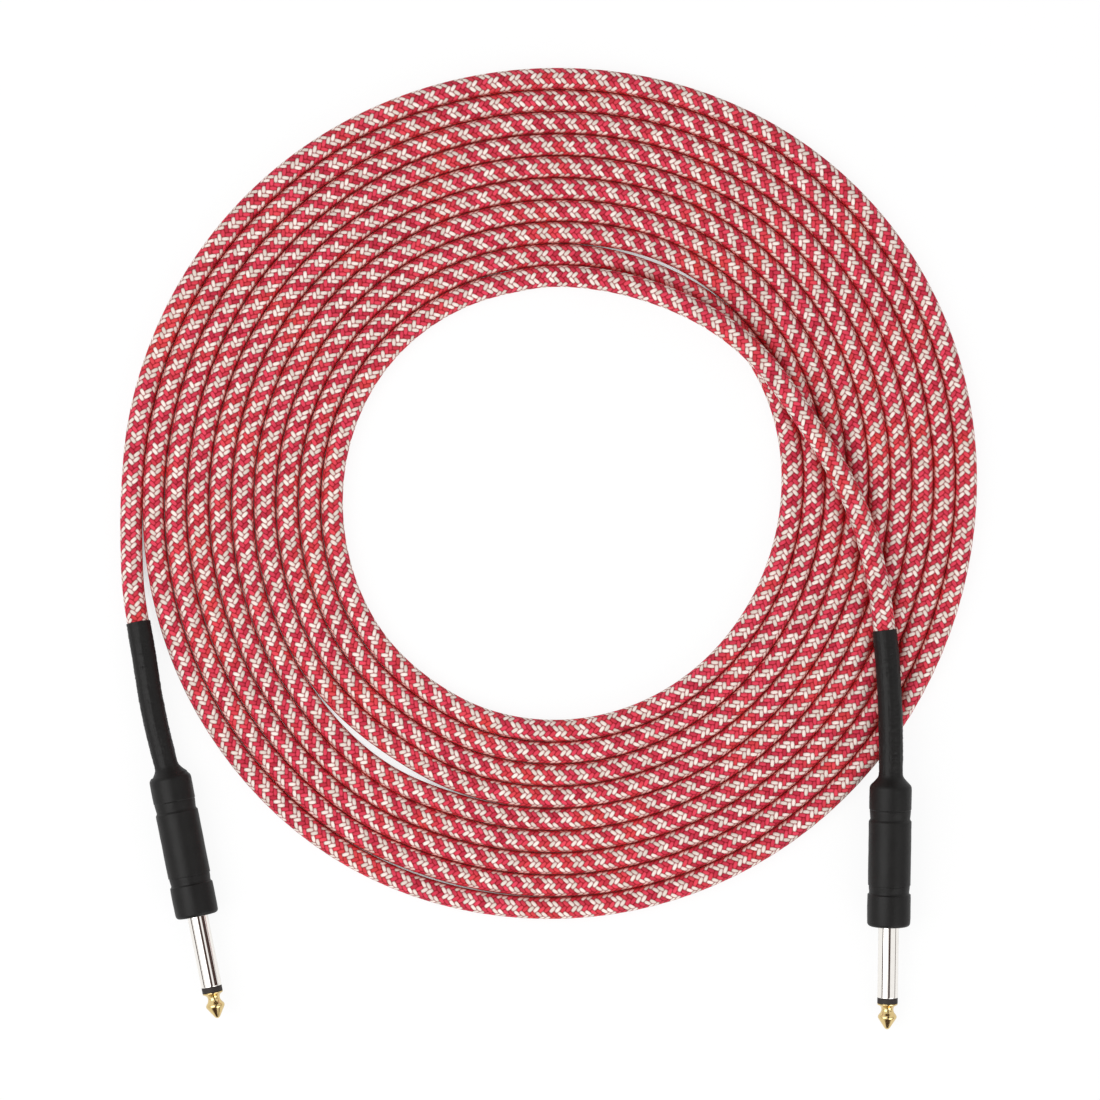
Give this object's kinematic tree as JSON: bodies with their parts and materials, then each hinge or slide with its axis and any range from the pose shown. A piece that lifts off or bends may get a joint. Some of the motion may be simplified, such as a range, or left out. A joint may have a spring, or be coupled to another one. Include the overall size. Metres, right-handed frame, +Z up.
{
  "type": "instrument cable",
  "caption": "Round flat-wound instrument cable in a red and off-white woven jacket, with a straight mono jack plug in a black heat-shrink grip on each end.",
  "frame": {"origin": "on the table, under the middle of the box round the two plugs; the middle of the coil is 10.2 mm to +X and 100.8 mm to +Y of it", "axes": "+Z up from the table, +X from plug A across the coil to plug B, +Y from the plugs' tips towards the coil"},
  "size_m": [0.2657, 0.2982, 0.016],
  "materials": {
    "gold_plate": "turned brass, gold plated and polished",
    "ring_plastic": "black moulded insulating ring",
    "inner_plastic": "natural nylon insulation",
    "nickel_plate": "turned brass, bright nickel plated",
    "tinned_brass": "stamped brass, tinned",
    "housing_metal": "turned metal shell, nickel plated",
    "liner_plastic": "thin insulating tube",
    "textile_braid": "woven polyester braid, red and off-white houndstooth",
    "jacket_plastic": "soft plastic jacket",
    "core_plastic": "foamed polyethylene insulation",
    "copper": "bare stranded copper",
    "solder": "tin solder",
    "heat_shrink": "black polyolefin heat-shrink, satin"
  },
  "bodies": {
    "root": {"plug_a_tip_contact": "gold_plate", "plug_a_ring_insulator": "ring_plastic", "plug_a_rod_sleeving": "inner_plastic", "plug_a_jack_sleeve": "nickel_plate", "plug_a_rear_bush": "inner_plastic", "plug_a_tip_tag": "tinned_brass", "plug_a_sleeve_tag": "tinned_brass", "plug_a_housing": "housing_metal", "plug_a_housing_liner": "liner_plastic", "plug_a_cable_braid": "textile_braid", "plug_a_cable_jacket": "jacket_plastic", "plug_a_cable_core": "core_plastic", "plug_a_core_wire": "copper", "plug_a_cable_shield": "copper", "plug_a_tip_solder": "solder", "plug_a_sleeve_solder": "solder", "plug_a_heat_shrink": "heat_shrink", "plug_b_tip_contact": "gold_plate", "plug_b_ring_insulator": "ring_plastic", "plug_b_rod_sleeving": "inner_plastic", "plug_b_jack_sleeve": "nickel_plate", "plug_b_rear_bush": "inner_plastic", "plug_b_tip_tag": "tinned_brass", "plug_b_sleeve_tag": "tinned_brass", "plug_b_housing": "housing_metal", "plug_b_housing_liner": "liner_plastic", "plug_b_cable_braid": "textile_braid", "plug_b_cable_jacket": "jacket_plastic", "plug_b_cable_core": "core_plastic", "plug_b_core_wire": "copper", "plug_b_cable_shield": "copper", "plug_b_tip_solder": "solder", "plug_b_sleeve_solder": "solder", "plug_b_heat_shrink": "heat_shrink", "cord_coil": "textile_braid", "cord_lead_a": "textile_braid", "cord_lead_b": "textile_braid"}
  },
  "joints": []
}
